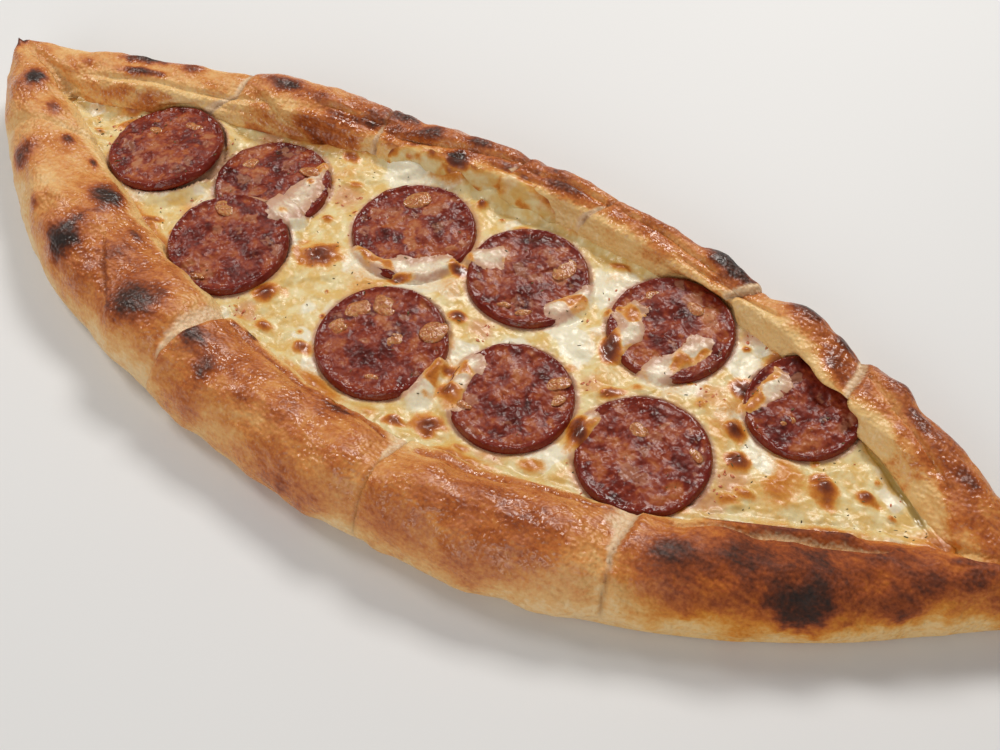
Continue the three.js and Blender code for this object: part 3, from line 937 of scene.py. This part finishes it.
relief = wire.noise(place, 3.2, 1) + wire.noise(place, 1.2, 0) * 0.4 + flecks * 0.06
relief.bump(shader, 1, 0.0007)

# Each ring is a share of the radius and a share of the thickness: underside, side, top.
rim_start = 0.965
profile = [(0.5, 0.0), (0.93, 0.02)]
for k in range(side_rings):
    turn = np.pi * (k + 0.5) / side_rings
    profile.append((rim_start + 0.035 * np.sin(turn), 0.5 - 0.44 * np.cos(turn)))
for k in range(top_rings):
    profile.append((rim_start * (1 - k / top_rings) ** 0.9, 1.0))
shares, levels = np.array(profile).T
body = np.repeat(levels, slice_around) * slice_thickness
on_top = np.repeat(levels >= 0.99, slice_around)
angles = np.linspace(0, 2 * np.pi, slice_around, endpoint=False)
circle = np.stack([np.cos(angles), np.sin(angles), 0 * angles], 1)
for number, name in enumerate(slice_names):
    middle, right, ahead, up, radius = seats[name]
    wobble = 1 + 0.012 * lumps(circle * 25 + 60 * number, 14, 31) - 0.012
    across = shares[:, None] * radius * wobble
    flat = (across[..., None] * circle[:, :2]).reshape(-1, 2)
    edge_share = np.hypot(*flat.T) / radius
    high = np.where(on_top, slice_top(flat, number, radius), body)
    points = middle + flat[:, :1] * right + flat[:, 1:] * ahead + high[:, None] * up
    points = np.vstack([points, middle, middle + up * (slice_thickness + slice_crown)])
    faces = ring_quads(len(profile), slice_around)
    base, crown_point = len(flat), len(flat) + 1
    final = base - slice_around
    for i in range(slice_around):
        j = (i + 1) % slice_around
        faces.append([base, j, i])
        faces.append([crown_point, final + i, final + j])
    rim_field = np.where(on_top, smooth(0.72, 1, edge_share), 1)
    mesh_piece(name.replace("slice", "sausage"), points, faces, slice_finish,
               {"rim": np.append(rim_field, [1, 0])}, [name])


# ---- Fat, herbs and pepper ----
# Translucent lumps of fat on the slices, and flecks of dried herb and red pepper over the
# cheese. Each kind is one joined mesh.
def ball(rounds):
    """Corners and faces of a unit ball of triangles."""
    shape = bmesh.new()
    bmesh.ops.create_icosphere(shape, subdivisions=rounds, radius=1)
    corners = np.array([v.co for v in shape.verts])
    faces = np.array([[v.index for v in face.verts] for face in shape.faces])
    shape.free()
    return corners, faces


def bits(name, rounds, places, sizes, turns, tilts, roughness, seed, finish):
    """One piece of many uneven grains: places, three half sizes each, turn and tilt (degrees)."""
    corners, faces = ball(rounds)
    all_points, all_faces = [], []
    for number, (spot, size, turn, tilt) in enumerate(zip(places, sizes, turns, tilts)):
        uneven = 1 + roughness * lumps(corners + 9 * number, 1.5, seed)
        grain = corners * uneven[:, None] * size
        lean, spin = np.radians(tilt), np.radians(turn)
        roll = [[1, 0, 0], [0, np.cos(lean), np.sin(lean)], [0, -np.sin(lean), np.cos(lean)]]
        way = [[np.cos(spin), np.sin(spin), 0], [-np.sin(spin), np.cos(spin), 0], [0, 0, 1]]
        all_points.append(grain @ roll @ way + spot)
        all_faces.append(faces + number * len(corners))
    mesh_piece(name, np.vstack(all_points), np.vstack(all_faces).tolist(), finish, {}, [])


def surface_height(x, y):
    """Top of the cheese, or of the slice that lies there."""
    level = cheese_sheet(x, y)[0]
    for seat in seats.values():
        under, away = plane_under(seat, x, y)
        level = np.where(away < seat[4], np.maximum(level, under + slice_thickness + 0.4), level)
    return level


def grain_finish(name, dark, pale, roughness, scattering):
    constants = {"Subsurface Weight": scattering, "Subsurface Scale": 0.002}
    finish, shader, wire, place = new_finish(name, constants)
    tint = wire.noise(place, 1.2, 3)
    tint.step(0.3, 0.7).blend(dark, pale).feed(shader, "Base Color")
    (roughness + (tint - 0.5) * 0.3).feed(shader, "Roughness")
    tint.bump(shader, 0.7, 0.0006)
    return finish


# Lumps of fat: slice number, x and y from its middle, half length, half width and turn.
fat_lumps = [
    (1, 2, 13, 3.2, 2, 20), (3, 1, -17, 3, 1.5, 10), (5, 0.5, -15, 2.6, 1.3, 15),
    (5, 8, -14, 2.6, 1.3, 50), (5, 9, 9, 3.8, 3, 80), (6, 13, 10, 4.2, 3.4, 60),
    (6, -8, 11, 4, 3, 0), (6, 7, -13, 2.4, 1.3, 20), (7, 13, 6, 3.6, 2.6, 70),
    (2, 8, 12, 3.8, 2.6, 10), (2, -12, 3, 4, 3.2, 40), (3, -9, 11, 3.6, 2.8, 0),
    (4, -7, 12, 4, 2.4, 60), (6, -14, 5, 4.6, 3.2, 40), (6, -15, -4, 3.8, 2.4, 80),
    (6, 3, 1, 3.4, 2.8, 0), (7, 10, 12, 4.4, 2.4, 40), (8, 2, 10, 3, 2.4, 0),
    (9, -5, 6, 3, 2.2, 0), (1, -10, 4, 3.4, 2.4, 0), (10, -2, -8, 3, 2.2, 30),
    (7, -12, -11, 3.2, 1.5, 0), (8, -12, 8, 3.4, 3, 20), (9, 14, 8, 3.2, 2.6, 0),
]
spots = []
for number, dx, dy, *_ in fat_lumps:
    seat = seats[slice_names[number - 1]]
    x, y = seat[0][0] + dx, seat[0][1] + dy
    spots.append((x, y, plane_under(seat, x, y)[0] + slice_thickness + 0.2))
fat_finish = grain_finish("melted_fat", (0.38, 0.11, 0.035), (0.58, 0.27, 0.1), 0.12, 0.4)
bits("fat_lumps", 4, spots, [(f[3], f[4], 0.68) for f in fat_lumps], [f[5] for f in fat_lumps],
     [0] * len(fat_lumps), 0.5, 41, fat_finish)


def strewn(count, seed, margin):
    """Places strewn over the filling."""
    draw = np.random.default_rng(seed)
    t = draw.uniform(-0.95, 0.96, count)
    near_y, far_y = inner_line(t, -1)[:, 1] + margin, inner_line(t, 1)[:, 1] - margin
    x, y = t * opening_half, near_y + draw.uniform(0, 1, count) * (far_y - near_y)
    return draw, x, y


count = 190
draw, x, y = strewn(count, 51, 2)
length, width = draw.uniform(0.3, 0.8, count), draw.uniform(0.15, 0.3, count)
sizes = np.stack([length, width, np.full(count, 0.1)], 1)
herb_finish = grain_finish("dried_herb", (0.07, 0.055, 0.015), (0.2, 0.15, 0.045), 0.6, 0.0)
bits("herb_flecks", 1, np.stack([x, y, surface_height(x, y) + 0.05], 1), sizes,
     draw.uniform(0, 180, count), draw.uniform(-35, 35, count), 0.3, 42, herb_finish)

# Most of the crumbs of pepper lie in the stains.
count = 130
draw, x, y = strewn(count, 52, 3)
for number in range(90):
    stain_x, stain_y, half = stains[number % len(stains)]
    x[number] = stain_x + draw.normal(0, half * 0.6)
    y[number] = stain_y + draw.normal(0, half * 0.5)
length, width = draw.uniform(0.3, 0.8, count), draw.uniform(0.25, 0.6, count)
sizes = np.stack([length, width, np.full(count, 0.15)], 1)
pepper_finish = grain_finish("red_pepper", (0.5, 0.09, 0.03), (0.68, 0.24, 0.09), 0.35, 0.1)
bits("pepper_crumbs", 2, np.stack([x, y, cheese_sheet(x, y)[0] + 0.02], 1), sizes,
     draw.uniform(0, 180, count), draw.uniform(-30, 30, count), 0.35, 43, pepper_finish)


# ---- Floor ----
# The plain pale table that the bread lies on; not part of the bread.
floor_finish, shader, wire, place = new_finish("pale_table", {"Roughness": 0.6})
shade = wire.noise(place, 300, 2)
shade.blend((0.78, 0.79, 0.8), (0.82, 0.83, 0.84)).feed(shader, "Base Color")
half = 3  # metres
floor_mesh = bpy.data.meshes.new("floor")
corners = [(-half, -half, 0), (half, -half, 0), (half, half, 0), (-half, half, 0)]
floor_mesh.from_pydata(corners, [], [(0, 1, 2, 3)])
floor_mesh.materials.append(floor_finish)
floor = put("floor", floor_mesh)
